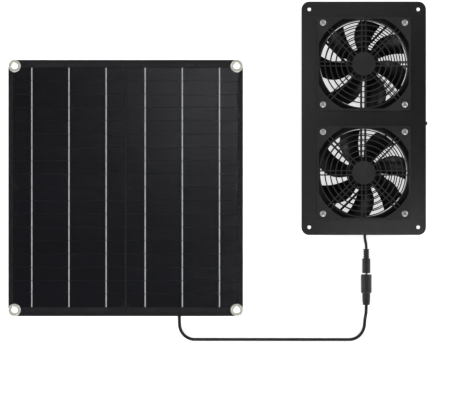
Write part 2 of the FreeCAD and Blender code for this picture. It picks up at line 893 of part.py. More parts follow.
def make_guard_fasteners(fan, y):
    screw = turned(
        fan + "_screw",
        [
            ("0", "-screw_long"),
            ("screw_radius - screw_chamfer", "-screw_long"),
            ("screw_radius", "-screw_long + screw_chamfer"),
            ("screw_radius", "0"),
            ("head_radius", "0"),
            ("head_radius", "head_tall * 0.45"),
            ("head_radius * 0.86", "head_tall * 0.78"),
            ("head_radius * 0.6", "head_tall"),
            ("0", "head_tall"),
        ],
    )
    slots = cross_slots(fan + "_screw", "cross_long", "cross_wide", "cross_deep", "head_tall - cross_deep")
    crossed = place(cut(fan + "_screw_cross", screw, slots), "screw_at", "screw_at")
    node(four_corners(fan + "_screws", crossed), fan + "_guard_screws", "plate_x", y, "head_z")

    blank = hexagon(fan + "_nut_blank", "nut_across / 2", "nut_tall")
    bore = rod(fan + "_nut_bore", "screw_radius", "2 * nut_tall", z="-nut_tall / 2")
    nut = place(cut(fan + "_nut", blank, [bore]), "screw_at", "screw_at")
    node(four_corners(fan + "_nuts", nut), fan + "_guard_nuts", "plate_x", y, "nut_play")


# ---------------------------------------------------------------- fan housing and motor


STRUT_END = "sqrt(barrel_outer ^ 2 - (strut_offset + lead_strut_wide / 2) ^ 2) - barrel_wall / 2"


def bar(name, start, end, wide, tall, z, degrees):
    """A level bar beside the fan's axis, along the direction at this angle from +X."""
    thing = doc.addObject("Part::Box", name)
    drive(thing, "Length", f"({end}) - ({start})")
    drive(thing, "Width", wide)
    drive(thing, "Height", tall)
    thing.Placement = Placement(Vector(), Rotation(Z_WAY, degrees))
    side = f"(strut_offset - ({wide}) / 2)"
    x = f"({start}) * cos({degrees}) - {side} * sin({degrees})"
    y = f"({start}) * sin({degrees}) + {side} * cos({degrees})"
    return place(thing, x, y, z)


def make_housing(fan, y):
    name = fan + "_housing"
    rear = slab(name + "_rear", "fan_width", "fan_width", "flange_thick", "fan_corner")
    front = slab(name + "_front", "fan_width", "fan_width", "flange_thick", "fan_corner")
    place(front, z="fan_depth - flange_thick")
    barrel = rod(name + "_barrel", "barrel_outer", "fan_depth")
    shell = fuse(name + "_shell", [rear, front, barrel])
    bore = rod(name + "_bore", "fan_bore", "2 * fan_depth", z="-fan_depth / 2")
    hole = rod(name + "_hole", "hole_radius", "2 * fan_depth", "screw_at", "screw_at", "-fan_depth / 2")
    bell = turned(
        name + "_bell",
        [
            ("0", "fan_depth - flange_thick"),
            ("fan_bore", "fan_depth - flange_thick"),
            ("guard_opening", "fan_depth"),
            ("guard_opening", "fan_depth + flange_thick"),
            ("0", "fan_depth + flange_thick"),
        ],
    )
    mouth = common(name + "_mouth", [bell, opening(name + "_airway", "2 * fan_depth", "0")])
    frame = cut(name + "_frame", shell, [bore, mouth, four_corners(name + "_holes", hole)])

    motor_base = rod(name + "_base", "base_radius", "base_thick")
    tube_wall = rod(name + "_tube", "tube_radius", "tube_tall")
    struts = []
    for count in range(4):
        wide = "lead_strut_wide" if count == 0 else "strut_wide"
        tall = "lead_strut_tall" if count == 0 else "strut_tall"
        degrees = 90 * count - 45
        struts.append(bar(f"{name}_strut_{count}", "board_radius", STRUT_END, wide, tall, "0", degrees))
    solid = fuse(name + "_solid", [frame, motor_base, tube_wall] + struts)

    recess = rod(name + "_recess", "bearing_radius - race_wall", "2 * tube_step", z="-tube_step")
    seat = rod(name + "_seat", "bearing_radius", "tube_tall", z="tube_step")
    groove_wide = "2 * (lead_radius + channel_play / 4)"
    channel = bar(
        name + "_channel", "lead_start", "fan_width", groove_wide, "lead_strut_tall", "channel_floor", -45
    )
    housing = cut(name + "_whole", solid, [recess, seat, channel])
    node(housing, name, "plate_x", y, "guard_thick")


def make_motor(fan, y):
    """What stays still inside the hub: bearings, laminated core, coils and the circuit board."""
    shield = "bearing_shield"
    rings = []
    for end, z in (("lower", "tube_step"), ("upper", "upper_bearing")):
        top = f"{z} + bearing_tall"
        inner = "shaft_radius + shaft_play"
        rings.append(
            turned(
                f"{fan}_{end}_bearing",
                [
                    (inner, z),
                    (f"{inner} + race_wall", z),
                    (f"{inner} + race_wall", f"{z} + {shield}"),
                    ("bearing_radius - race_wall", f"{z} + {shield}"),
                    ("bearing_radius - race_wall", z),
                    ("bearing_radius", z),
                    ("bearing_radius", top),
                    ("bearing_radius - race_wall", top),
                    ("bearing_radius - race_wall", f"{top} - {shield}"),
                    (f"{inner} + race_wall", f"{top} - {shield}"),
                    (f"{inner} + race_wall", top),
                    (inner, top),
                ],
            )
        )
    node(fuse(fan + "_bearing_pair", rings), fan + "_bearings", "plate_x", y, "guard_thick")

    core = doc.addObject("PartDesign::Body", fan + "_core")
    tooth = sketch_on(core, fan + "_tooth", offset="stator_rear")
    inner = "(stator_radius - shoe_thick)"
    half = "tooth_wide / 2"
    one_side = [
        ("core_ring - shoe_thick / 2", half),
        (f"{inner} * cos(shoe_turn / 2)", half),
        (f"{inner} * cos(shoe_turn)", f"{inner} * sin(shoe_turn)"),
        ("stator_radius * cos(shoe_turn)", "stator_radius * sin(shoe_turn)"),
        ("stator_radius * cos(shoe_turn / 2)", "stator_radius * sin(shoe_turn / 2)"),
    ]
    other_side = [(x, f"-({along})") for x, along in reversed(one_side)]
    outline(tooth, one_side + other_side)
    hoop = sketch_on(core, fan + "_hoop", offset="stator_rear")
    circle(hoop, "core_ring")
    circle(hoop, "tube_radius")
    pad(core, hoop, "stator_tall", fan + "_hoop_pad")
    tooth_pad = pad(core, tooth, "stator_tall", fan + "_tooth_pad")
    polar(core, [tooth_pad], "4", fan + "_teeth")
    node(core, fan + "_stator_core", "plate_x", y, "guard_thick")

    coils = doc.addObject("PartDesign::Body", fan + "_coils")
    loop = sketch_on(coils, fan + "_coil", "YZ_Plane", "coil_start")
    middle = "stator_rear + stator_tall / 2"
    rectangle(loop, "tooth_wide", "stator_tall", "0", middle)
    rectangle(loop, "tooth_wide + 2 * coil_side", "stator_tall + 2 * coil_over", "0", middle)
    coil = pad(coils, loop, "coil_deep", fan + "_coil_pad")
    polar(coils, [coil], "4", fan + "_coil_polar")
    node(coils, fan + "_stator_coils", "plate_x", y, "guard_thick")

    disc = rod(fan + "_board_disc", "board_radius", "board_thick")
    bore = rod(fan + "_board_bore", "tube_radius + board_room", "3 * board_thick", z="-board_thick")
    notch_wide = "2 * (lead_radius + channel_play)"
    notch = bar(
        fan + "_board_notch", "lead_start", "fan_width", notch_wide, "3 * board_thick", "-board_thick", -45
    )
    board = cut(fan + "_board", disc, [bore, notch])
    node(board, fan + "_circuit_board", "plate_x", y, "guard_thick + board_z")


# ---------------------------------------------------------------- rotor


def edge_turn(edge, radius):
    """Clockwise angle in degrees of a blade's edge at a radius, from the gap before the blade."""
    past = max(radius - size("sweep_from"), 0.0) / size("sweep_over")
    return size(edge + "_turn") + size(edge + "_sweep") * past ** size(edge + "_power")


def blade_section(distance, facing):
    """A cambered section in the plane at this distance from the axis, square to the facing angle."""
    ends = []
    for edge in ("lead_edge", "trail_edge"):
        turn = 0.0
        for _ in range(4):
            reached = distance / math.cos(math.radians(turn))
            turn = edge_turn(edge, reached) - facing
        ends.append(distance * math.tan(math.radians(turn)))
    front = Vector(ends[0], distance, size("blade_front"))
    rear = Vector(ends[1], distance, size("blade_rear"))
    chord = (rear - front).normalize()
    normal = Y_WAY.cross(chord).normalize()
    if normal.z < 0:
        normal = normal * -1
    half = normal * (size("blade_thick") / 2)
    crown = (front + rear) * 0.5 + normal * size("blade_camber")
    above = Part.Arc(front + half, crown + half, rear + half).toShape()
    below = Part.Arc(rear - half, crown - half, front - half).toShape()
    rear_end = Part.LineSegment(rear + half, rear - half).toShape()
    front_end = Part.LineSegment(front - half, front + half).toShape()
    return Part.Wire([above, rear_end, below, front_end])


def make_blades(fan):
    """Seven blades lofted through sections, then trimmed between the hub's wall and the tip circle."""
    root = size("hub_radius")
    tip = size("blade_tip")
    facing = (edge_turn("lead_edge", tip) + edge_turn("trail_edge", root)) / 2
    stations = [root * 0.85, root * 1.2, root * 1.6, root * 2.0, root * 2.4, tip * 1.04]
    blade = Part.makeLoft([blade_section(distance, facing) for distance in stations], True, False)
    tall = size("fan_depth")
    keep = Part.makeCylinder(tip, tall).cut(Part.makeCylinder(root - size("hub_wall") / 2, tall))
    trimmed = blade.common(keep).Solids[0]
    count = int(size("blade_count"))
    blades = []
    for number in range(count):
        copy = trimmed.copy()
        copy.rotate(Vector(), Z_WAY, -facing - 360.0 * number / count)
        blades.append(copy)
    thing = doc.addObject("Part::Feature", fan + "_blades")
    thing.Shape = Part.makeCompound(blades)
    thing.Placement = Placement()
    return thing


def spin(thing, label, fan, y):
    """Finishes a piece of the rotor, turned clockwise about the fan's axis to its rest angle."""
    thing.Placement = Placement(Vector(), Rotation(Z_WAY * -1, size(fan + "_turn")))
    drive(thing, "Placement.Rotation.Angle", fan + "_turn")
    node(thing, label, "plate_x", y, "guard_thick")


def make_rotor(fan, y):
    inside = "hub_radius - hub_wall"
    cap = "hub_front - hub_cap"
    hub = turned(
        fan + "_hub",
        [
            (inside, "hub_rear"),
            ("hub_radius", "hub_rear"),
            ("hub_radius", "hub_front - hub_round"),
            ("hub_radius - 0.3 * hub_round", "hub_front - 0.3 * hub_round"),
            ("hub_radius - hub_round", "hub_front"),
            ("0", "hub_front"),
            ("0", "shaft_front"),
            ("shaft_radius", "shaft_front"),
            ("shaft_radius", "boss_rear"),
            ("boss_radius", "boss_rear"),
            ("boss_radius", cap),
            (inside, cap),
        ],
    )
    spin(fuse(fan + "_rotor", [hub, make_blades(fan)]), fan + "_impeller", fan, y)

    yoke = ring(fan + "_yoke", "yoke_outer", "magnet_outer", "yoke_front - yoke_rear", "yoke_rear")
    spin(yoke, fan + "_rotor_yoke", fan, y)
    magnet = ring(
        fan + "_magnet",
        "magnet_outer",
        "magnet_outer - magnet_wall",
        "yoke_front - yoke_rear - 2 * magnet_inset",
        "yoke_rear + magnet_inset",
    )
    spin(magnet, fan + "_rotor_magnet", fan, y)

    clip_top = "clip_z + clip_thick"
    shaft = turned(
        fan + "_shaft",
        [
            ("0", "shaft_rear"),
            ("shaft_radius - shaft_chamfer", "shaft_rear"),
            ("shaft_radius", "shaft_rear + shaft_chamfer"),
            ("shaft_radius", "clip_z"),
            ("clip_groove", "clip_z"),
            ("clip_groove", clip_top),
            ("shaft_radius", clip_top),
            ("shaft_radius", "shaft_front"),
            ("0", "shaft_front"),
        ],
    )
    spin(shaft, fan + "_rotor_shaft", fan, y)

    hoop = ring(fan + "_clip_ring", "clip_radius", "clip_groove", "clip_thick", "clip_z")
    below = "clip_z - clip_thick"
    mouth = block(
        fan + "_clip_mouth", "clip_radius", "clip_mouth", "3 * clip_thick", "clip_radius / 2", "0", below
    )
    spin(cut(fan + "_clip", hoop, [mouth]), fan + "_shaft_clip", fan, y)

    washer = turned(
        fan + "_washer",
        [
            ("shaft_radius + washer_play", "boss_rear - washer_thick"),
            ("washer_radius - washer_cone", "boss_rear - washer_thick"),
            ("washer_radius", "boss_rear - washer_thick / 2"),
            ("washer_radius", "boss_rear"),
            ("shaft_radius + washer_play", "boss_rear"),
        ],
    )
    spin(washer, fan + "_preload_washer", fan, y)


# ---------------------------------------------------------------- leads, cords, plug and socket


def strut_point(y, along):
    """A point of a fan's lead on the line of its wide strut, this far along it."""
    across = size("strut_offset") * math.sqrt(0.5)
    step = along * math.sqrt(0.5)
    return Vector(size("plate_x") + across + step, size(y) + across - step, size("lead_height"))


def make_leads():
    """Each fan's lead runs along its wide strut, out of the housing's side and down to the splice."""
    centre = Vector(size("plate_x"), size("plate_y"), size("lead_height"))
    splice = Vector(size("splice_x") + size("splice_long") / 2, size("splice_y"), size("lead_height"))
    apart = size("lead_pitch") / 2

    upper_route = [
        (63.2, 25.8), (72.3, 15.2), (77.1, 3.4), (77.6, -9.9), (75.9, -22.0), (71.2, -38.0),
        (69.9, -72.0), (70.9, -106.0), (69.6, -125.0), (63.6, -134.4), (54.6, -137.0),
    ]
    lower_route = [(62.6, -113.7), (66.0, -120.6), (64.1, -128.9), (56.6, -133.2)]
    for fan, route, side in (("upper", upper_route, -1), ("lower", lower_route, 1)):
        end = splice + Vector(0, side * apart, 0)
        points = [strut_point(fan + "_y", size("lead_start"))]
        points += [centre + Vector(x, y, 0) for x, y in route]
        points += [end + Vector(8.2, 0, 0), end]
        tube(fan + "_lead", points, size("lead_radius"))

    sleeve = rod("splice", "splice_radius", "splice_long", lying=LYING_ALONG_X)
    node(sleeve, "lead_splice", "splice_x - splice_long / 2", "splice_y", "lead_height")

    inside = "lead_radius + tie_gap"
    tie_ring = ring("tie_ring", f"{inside} + tie_wall", inside, "tie_wide", "-tie_wide / 2")
    tie_ring.Placement = Placement(Vector(), LYING_ALONG_Y)
    room = "plate_width / 2 + tie_reach - tie_head"
    head = block("tie_head", "tie_head", "tie_head", "tie_head", "tie_head / 2", "0", "-tie_head / 2")
    place(tie_ring, "-(lead_radius + tie_gap + tie_wall / 2)")
    tie = fuse("tie", [tie_ring, head])
    node(tie, "lead_tie", f"plate_x + {room}", "plate_y - tie_drop", "lead_height")


def make_cords():
    middle = Vector(size("connector_x"), 0, size("connector_z"))
    splice_end = Vector(size("splice_x") - size("splice_long") / 2, size("splice_y"), size("lead_height"))
    plug_top = middle + Vector(0, size("plug_top"), 0)
    fan_route = [
        splice_end,
        splice_end + Vector(-9.1, 0, 0),
        splice_end + Vector(-17.2, -4.65, 0),
        splice_end + Vector(-21.8, -12.75, -0.1),
        plug_top + Vector(-1.8, 12.35, 0.4),
        plug_top + Vector(0, 5.8, 0),
        plug_top,
    ]
    tube("fan_cord", fan_route, size("fan_cord_radius"))

    rest = size("panel_cord_radius")
    gland_end = Vector(size("box_x"), size("gland_y") - size("gland_reach"), size("gland_z"))
    under_gland = Vector(gland_end.x, gland_end.y, rest)
    tail = middle + Vector(0, size("socket_end"), 0)
    under_tail = Vector(tail.x, tail.y, rest)
    panel_route = [
        gland_end,
        gland_end + Vector(0, -10.5, 0),
        under_gland + Vector(-0.8, -22.55, 1.65),
        under_gland + Vector(-0.6, -35.55, 0),
        under_gland + Vector(-0.3, -48.95, 0),
        under_gland + Vector(5.0, -58.25, 0),
        under_gland + Vector(14.2, -63.55, 0),
        under_tail + Vector(-16.8, -45.05, 0),
        under_tail + Vector(-7.6, -39.65, 0),
        under_tail + Vector(-2.3, -30.25, 0),
        under_tail + Vector(-1.8, -19.25, 1.35),
        tail + Vector(0, -9.6, 0),
        tail,
    ]
    tube("panel_cord", panel_route, size("panel_cord_radius"))


def make_plug():
    """Ribbed relief and round body, moulded as one, with the barrel contact at its far end."""
    pitch = "relief_long / relief_ribs"
    profile = [("0", "0"), ("relief_radius", "0")]
    for count in range(int(size("relief_ribs"))):
        rib_end = f"-{count + 0.5} * {pitch}"
        next_rib = f"-{count + 1} * {pitch}"
        profile += [("relief_radius", rib_end), ("relief_root", rib_end), ("relief_root", next_rib)]
        profile.append(("relief_radius", next_rib))
    profile.pop()
    end = "relief_long + plug_long"
    profile += [
        ("plug_radius - edge_round", "-relief_long"),
        ("plug_radius", "-relief_long - edge_round"),
        ("plug_radius", f"-({end}) + edge_round / 2"),
        ("plug_radius - edge_round / 2", f"-({end})"),
        ("0", f"-({end})"),
    ]
    shell = turned("plug_shell", profile, "XY_Plane")
    room = rod("plug_room", "barrel_radius", "barrel_radius", "0", f"-({end})", "0", LYING_ALONG_Y)
    node(cut("plug", shell, [room]), "plug_housing", "connector_x", "plug_top", "connector_z")

    long = "barrel_long + barrel_radius"
    outer = pipe_y("barrel_outer_wall", "barrel_radius", "barrel_radius - contact_wall", long)
    inner = pipe_y("barrel_inner_wall", "inner_radius", "pin_radius + contact_play", long)
    filling = pipe_y("barrel_filling", "barrel_radius - contact_wall", "inner_radius", long)
    tip = "plug_face - barrel_long"
    node(fuse("contacts", [outer, inner]), "plug_contacts", "connector_x", tip, "connector_z")
    node(filling, "plug_insulator", "connector_x", tip, "connector_z")


def pipe_y(name, outer, inner, long):
    """A plain pipe along Y, from its own origin."""
    return turned(name, [(inner, "0"), (outer, "0"), (outer, long), (inner, long)], "XY_Plane")


def make_socket():
    reach = "barrel_radius + contact_play"
    bore = f"{reach} + contact_wall"
    total = "socket_long + tail_long"
    shell = turned(
        "socket_shell",
        [
            (bore, "0"),
            ("socket_radius - edge_round / 2", "0"),
            ("socket_radius", "-edge_round / 2"),
            ("socket_radius", "-socket_long + edge_round"),
            ("socket_radius - edge_round", "-socket_long"),
            ("tail_radius", "-socket_long"),
            ("tail_radius", "-socket_long - tail_long * 0.6"),
            ("tail_tip", f"-({total})"),
            ("0", f"-({total})"),
            ("0", "-socket_depth"),
            (bore, "-socket_depth"),
        ],
        "XY_Plane",
    )
    node(shell, "socket_housing", "connector_x", "socket_face", "connector_z")
    sleeve = pipe_y("socket_sleeve", bore, reach, "socket_depth - edge_round / 2")
    node(sleeve, "socket_contact", "connector_x", "socket_face - socket_depth", "connector_z")
    pin = turned(
        "socket_centre",
        [
            ("0", "0"),
            ("pin_radius", "0"),
            ("pin_radius", "socket_depth - pin_back - pin_radius / 2"),
            ("pin_radius / 2", "socket_depth - pin_back"),
            ("0", "socket_depth - pin_back"),
        ],
        "XY_Plane",
    )
    node(pin, "socket_pin", "connector_x", "socket_face - socket_depth", "connector_z")


# ---------------------------------------------------------------- the whole object

make_panel_board()
make_cells()
make_ribbons()
make_eyelets()
make_box_shell()
make_box_lid()
make_box_inside()
make_box_leads()
make_gland()
make_mounting_plate()
for fan_name in ("upper", "lower"):
    fan_y = fan_name + "_y"
    make_guard(fan_name, "front", fan_y)
    make_guard(fan_name, "rear", fan_y)
    make_guard_fasteners(fan_name, fan_y)
    make_housing(fan_name, fan_y)
    make_motor(fan_name, fan_y)
    make_rotor(fan_name, fan_y)
make_leads()
make_cords()
make_plug()
make_socket()
doc.recompute()

for thing in doc.Objects:
    if "Invalid" in thing.State or "Error" in thing.State:
        raise ValueError(f"{thing.Label} could not be made: {thing.State}")
for thing in nodes:
    if thing.Shape.isNull() or not thing.Shape.isValid() or not thing.Shape.Solids:
        raise ValueError(f"{thing.Label} has no valid solid")
os.makedirs("parts", exist_ok=True)
for thing in nodes:
    thing.Shape.exportStep(f"parts/{thing.Label}.step")
print(f"{len(nodes)} sub-parts written")
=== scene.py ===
"""Looks of a solar attic fan: a panel and a twin-fan plate, joined by cords and a round connector.

Metres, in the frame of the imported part. The object lies on its back with its faces up.
"""
import math

import bmesh
import bpy
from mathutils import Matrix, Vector


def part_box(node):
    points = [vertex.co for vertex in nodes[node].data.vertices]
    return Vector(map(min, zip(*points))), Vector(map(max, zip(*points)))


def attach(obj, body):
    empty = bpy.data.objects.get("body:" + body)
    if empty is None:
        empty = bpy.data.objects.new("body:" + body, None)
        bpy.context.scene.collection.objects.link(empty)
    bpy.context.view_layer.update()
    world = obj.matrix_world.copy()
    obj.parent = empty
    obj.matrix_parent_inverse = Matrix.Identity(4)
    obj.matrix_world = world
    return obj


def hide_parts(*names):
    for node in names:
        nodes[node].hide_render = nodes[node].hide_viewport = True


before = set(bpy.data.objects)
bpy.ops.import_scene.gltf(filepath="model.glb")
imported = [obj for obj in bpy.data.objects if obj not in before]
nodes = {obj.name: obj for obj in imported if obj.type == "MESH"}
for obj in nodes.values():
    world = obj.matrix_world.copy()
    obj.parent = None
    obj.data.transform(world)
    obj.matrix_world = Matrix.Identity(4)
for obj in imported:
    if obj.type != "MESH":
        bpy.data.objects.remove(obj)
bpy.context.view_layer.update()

MM = 0.001
FANS = ("upper", "lower")

# Sizes that no node's box gives.
SCREW_SPACING = 105.0 * MM
BORE_RADIUS = 57.0 * MM
CELL_ROWS = 18
ROW_GAP = 0.4 * MM
BOARD_LAMINATE = 0.15 * MM


def fan_centre(fan):
    low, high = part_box(f"{fan}_housing")
    return (low + high) / 2


# ---------------------------------------------------------------- camera

CAMERA_PLACE = Vector((0.02135, -0.06535, 3.6))
CAMERA_LENS = 213.2


def make_camera():
    camera = bpy.data.objects.new("camera", bpy.data.cameras.new("camera"))
    camera.data.sensor_width = 36.0
    camera.data.sensor_fit = "HORIZONTAL"
    camera.data.lens = CAMERA_LENS
    camera.data.clip_end = 30.0
    camera.location = CAMERA_PLACE
    bpy.context.scene.collection.objects.link(camera)
    bpy.context.scene.camera = camera


# ---------------------------------------------------------------- building materials


def start_material(name, base, roughness, metallic=0.0):
    """A material, its node tree, its shader and the Object coordinates."""
    material = bpy.data.materials.new(name)
    material.use_nodes = True
    tree = material.node_tree
    shader = tree.nodes["Principled BSDF"]
    shader.inputs["Base Color"].default_value = (*base, 1.0)
    shader.inputs["Roughness"].default_value = roughness
    shader.inputs["Metallic"].default_value = metallic
    place = tree.nodes.new("ShaderNodeTexCoord").outputs["Object"]
    return material, tree, shader, place


def stretched(tree, place, scale, turn=(0.0, 0.0, 0.0)):
    """Coordinates scaled by axis, then turned: a small scale draws a pattern out along that axis."""
    mapping = tree.nodes.new("ShaderNodeMapping")
    mapping.inputs["Rotation"].default_value = turn
    mapping.inputs["Scale"].default_value = scale
    tree.links.new(place, mapping.inputs["Vector"])
    return mapping.outputs["Vector"]


def noise(tree, place, scale, detail=3.0):
    """Soft random patches: a larger scale makes them smaller."""
    node = tree.nodes.new("ShaderNodeTexNoise")
    node.inputs["Scale"].default_value = scale
    node.inputs["Detail"].default_value = detail
    node.inputs["Roughness"].default_value = 0.55
    tree.links.new(place, node.inputs["Vector"])
    return node.outputs["Fac"]


def cells_of(tree, place, scale):
    """Distance from the middle of each of many small irregular cells."""
    node = tree.nodes.new("ShaderNodeTexVoronoi")
    node.feature = "F1"
    node.inputs["Scale"].default_value = scale
    tree.links.new(place, node.inputs["Vector"])
    return node.outputs["Distance"]


def bands(tree, place, scale, direction, distortion=0.0, profile="SIN"):
    """Straight or wavy bands, as in a weave, a stack of sheets or a winding."""
    node = tree.nodes.new("ShaderNodeTexWave")
    node.bands_direction = direction
    node.wave_profile = profile
    node.inputs["Scale"].default_value = scale
    node.inputs["Distortion"].default_value = distortion
    tree.links.new(place, node.inputs["Vector"])
    return node.outputs["Fac"]


def ramp(tree, value, stops):
    """Colours along a value: stops are (position, colour)."""
    node = tree.nodes.new("ShaderNodeValToRGB")
    colours = node.color_ramp.elements
    for element, (position, colour) in zip(colours, (stops[0], stops[-1])):
        element.position = position
        element.color = (*colour, 1.0)
    for position, colour in stops[1:-1]:
        colours.new(position).color = (*colour, 1.0)
    tree.links.new(value, node.inputs["Fac"])
    return node.outputs["Color"]


def spread(tree, value, low, high, from_low=0.3, from_high=0.7):
    """Stretches a value's middle range over low to high."""
    node = tree.nodes.new("ShaderNodeMapRange")
    node.inputs["From Min"].default_value = from_low
    node.inputs["From Max"].default_value = from_high
    node.inputs["To Min"].default_value = low
    node.inputs["To Max"].default_value = high
    tree.links.new(value, node.inputs["Value"])
    return node.outputs["Result"]


def sums(tree, operation, first, second=0.0):
    """One step of arithmetic: each operand is a number or a socket, and some operations need only one."""
    node = tree.nodes.new("ShaderNodeMath")
    node.operation = operation
    for socket, value in zip(node.inputs, (first, second)):
        if isinstance(value, (int, float)):
            socket.default_value = value
        else:
            tree.links.new(value, socket)
    return node.outputs["Value"]


def blend(tree, factor, first, second):
    """First colour where the factor is 0, second where it is 1."""
    node = tree.nodes.new("ShaderNodeMix")
    node.data_type = "RGBA"
    tree.links.new(factor, node.inputs["Factor"])
    for socket, colour in ((node.inputs["A"], first), (node.inputs["B"], second)):
        if isinstance(colour, tuple):
            socket.default_value = (*colour, 1.0)
        else:
            tree.links.new(colour, socket)
    return node.outputs["Result"]


def axes(tree, place):
    node = tree.nodes.new("ShaderNodeSeparateXYZ")
    tree.links.new(place, node.inputs["Vector"])
    return node.outputs["X"], node.outputs["Y"], node.outputs["Z"]


def relief(tree, shader, height, distance, strength=1.0):
    """Bump of this many metres between a height of 0 and 1."""
    node = tree.nodes.new("ShaderNodeBump")
    node.inputs["Strength"].default_value = strength
    node.inputs["Distance"].default_value = distance
    tree.links.new(height, node.inputs["Height"])
    tree.links.new(node.outputs["Normal"], shader.inputs["Normal"])


def tinted(base, factor):
    return tuple(min(1.0, channel * factor) for channel in base)


def mottled(tree, shader, place, base, scale, low=0.75, high=1.3):
    """Slow changes of shade in a base colour."""
    shade = noise(tree, place, scale)
    colour = ramp(tree, shade, [(0.32, tinted(base, low)), (0.5, base), (0.68, tinted(base, high))])
    tree.links.new(colour, shader.inputs["Base Color"])


def uneven_gloss(tree, shader, place, scale, low, high):
    """Roughness that wanders between low and high."""
    tree.links.new(spread(tree, noise(tree, place, scale), low, high), shader.inputs["Roughness"])


def grained_plastic(name, base, roughness, grain, depth):
    """Moulded plastic with a grain of this size in metres, and dull patches from handling."""
    material, tree, shader, place = start_material(name, base, roughness)
    mottled(tree, shader, place, base, scale=45.0)
    uneven_gloss(tree, shader, place, scale=160.0, low=roughness - 0.07, high=roughness + 0.09)
    relief(tree, shader, noise(tree, place, scale=1.0 / grain, detail=2.0), depth)
    return material


def worked_metal(name, base, roughness, stretch, depth):
    """Metal with fine marks drawn out along the axis whose stretch is smallest."""
    material, tree, shader, place = start_material(name, base, roughness, metallic=1.0)
    marks = noise(tree, stretched(tree, place, stretch), scale=1.0, detail=4.0)
    colour = ramp(tree, marks, [(0.3, tinted(base, 0.82)), (0.7, tinted(base, 1.1))])
    tree.links.new(colour, shader.inputs["Base Color"])
    uneven_gloss(tree, shader, place, scale=900.0, low=roughness - 0.06, high=roughness + 0.1)
    relief(tree, shader, marks, depth)
    return material


# ---------------------------------------------------------------- panel materials


def backing_material():
    """Black on its front face and edges, off-white laminate on its back."""
    material, tree, shader, place = start_material("backing_board", (0.012, 0.012, 0.014), 0.4)
    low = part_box("panel_backing")[0].z
    height = axes(tree, place)[2]
    front = sums(tree, "GREATER_THAN", height, low + BOARD_LAMINATE)
    weave_x = bands(tree, place, scale=420.0, direction="X")
    weave_y = bands(tree, place, scale=420.0, direction="Y")
    weave = sums(tree, "MULTIPLY", weave_x, weave_y)
    patches = noise(tree, place, scale=60.0)
    pale = ramp(tree, patches, [(0.3, (0.66, 0.67, 0.65)), (0.7, (0.76, 0.77, 0.75))])
    dark = ramp(tree, patches, [(0.3, (0.006, 0.006, 0.008)), (0.7, (0.010, 0.010, 0.012))])
    tree.links.new(blend(tree, front, pale, dark), shader.inputs["Base Color"])
    uneven_gloss(tree, shader, place, scale=90.0, low=0.34, high=0.5)
    relief(tree, shader, weave, distance=0.03 * MM)
    return material


def film_material():
    """Clear film with a fine pebble, so thin that only its shine and a trace of haze show."""
    material, tree, shader, place = start_material("clear_film", (0.06, 0.06, 0.075), 0.24)
    shader.inputs["Alpha"].default_value = 0.035
    shader.inputs["IOR"].default_value = 1.45
    uneven_gloss(tree, shader, place, scale=9.0, low=0.21, high=0.25)
    relief(tree, shader, cells_of(tree, place, scale=1400.0), distance=0.012 * MM)
    return material


def silicon_material():
    """Dark blue-black cells: hair-fine fingers, a shade for each strip, bevelled wafer corners."""
    base = (0.0040, 0.0042, 0.0062)
    corner_cut = 8.5 * MM
    finger_edge = 0.93
    material, tree, shader, place = start_material("silicon_cells", base, 0.3)
    low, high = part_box("cell_strips")
    middle = (low + high) / 2
    across, along, _ = axes(tree, place)
    strip = (high.y - low.y + ROW_GAP) / CELL_ROWS
    row = sums(tree, "FLOOR", sums(tree, "DIVIDE", sums(tree, "SUBTRACT", along, low.y), strip))
    column = sums(tree, "GREATER_THAN", across, middle.x)
    tag = tree.nodes.new("ShaderNodeCombineXYZ")
    tree.links.new(row, tag.inputs["X"])
    tree.links.new(column, tag.inputs["Y"])
    grey = tree.nodes.new("ShaderNodeTexWhiteNoise")
    tree.links.new(tag.outputs["Vector"], grey.inputs["Vector"])
    strips = ramp(tree, grey.outputs["Value"], [(0.0, tinted(base, 0.82)), (1.0, tinted(base, 1.22))])
    width = (high.x - low.x) / 2
    length = (high.y - low.y) / 2
    from_side = sums(tree, "PINGPONG", sums(tree, "SUBTRACT", across, middle.x), width / 2)
    from_end = sums(tree, "PINGPONG", sums(tree, "SUBTRACT", along, middle.y), length / 2)
    corner = sums(tree, "LESS_THAN", sums(tree, "ADD", from_side, from_end), corner_cut)
    with_corners = blend(tree, corner, strips, (0.012, 0.012, 0.014))
    fingers = bands(tree, place, scale=160.0, direction="Y")
    line = sums(tree, "GREATER_THAN", fingers, finger_edge)
    faint = sums(tree, "MULTIPLY", line, 0.25)
    tree.links.new(blend(tree, faint, with_corners, (0.03, 0.03, 0.034)), shader.inputs["Base Color"])
    uneven_gloss(tree, shader, place, scale=12.0, low=0.19, high=0.22)
    relief(tree, shader, noise(tree, place, scale=2600.0, detail=1.0), distance=0.0015 * MM)
    return material


def ribbon_material():
    """Tinned flat wire, dulled and slightly wavy under the film."""
    base = (0.80, 0.80, 0.80)
    material, tree, shader, place = start_material("tinned_ribbon", base, 0.45, metallic=0.15)
    streaks = noise(tree, stretched(tree, place, (1600.0, 90.0, 1.0)), scale=1.0, detail=4.0)
    colour = ramp(tree, streaks, [(0.3, tinted(base, 0.78)), (0.55, base), (0.75, tinted(base, 1.25))])
    tree.links.new(colour, shader.inputs["Base Color"])
    relief(tree, shader, streaks, distance=0.02 * MM)
    return material


def bus_material():
    """Black tape over the bus strips."""
    return grained_plastic("bus_strip", (0.017, 0.017, 0.020), 0.34, grain=0.5 * MM, depth=0.01 * MM)


def eyelet_material():
    """Nickel-plated brass, dented all over by the punch that rolls it."""
    base = (0.86, 0.85, 0.77)
    material, tree, shader, place = start_material("eyelet_nickel", base, 0.4, metallic=0.45)
    mottled(tree, shader, place, base, scale=420.0, low=0.88, high=1.08)
    uneven_gloss(tree, shader, place, scale=700.0, low=0.34, high=0.5)
    relief(tree, shader, noise(tree, place, scale=1100.0), distance=0.04 * MM)
    return material


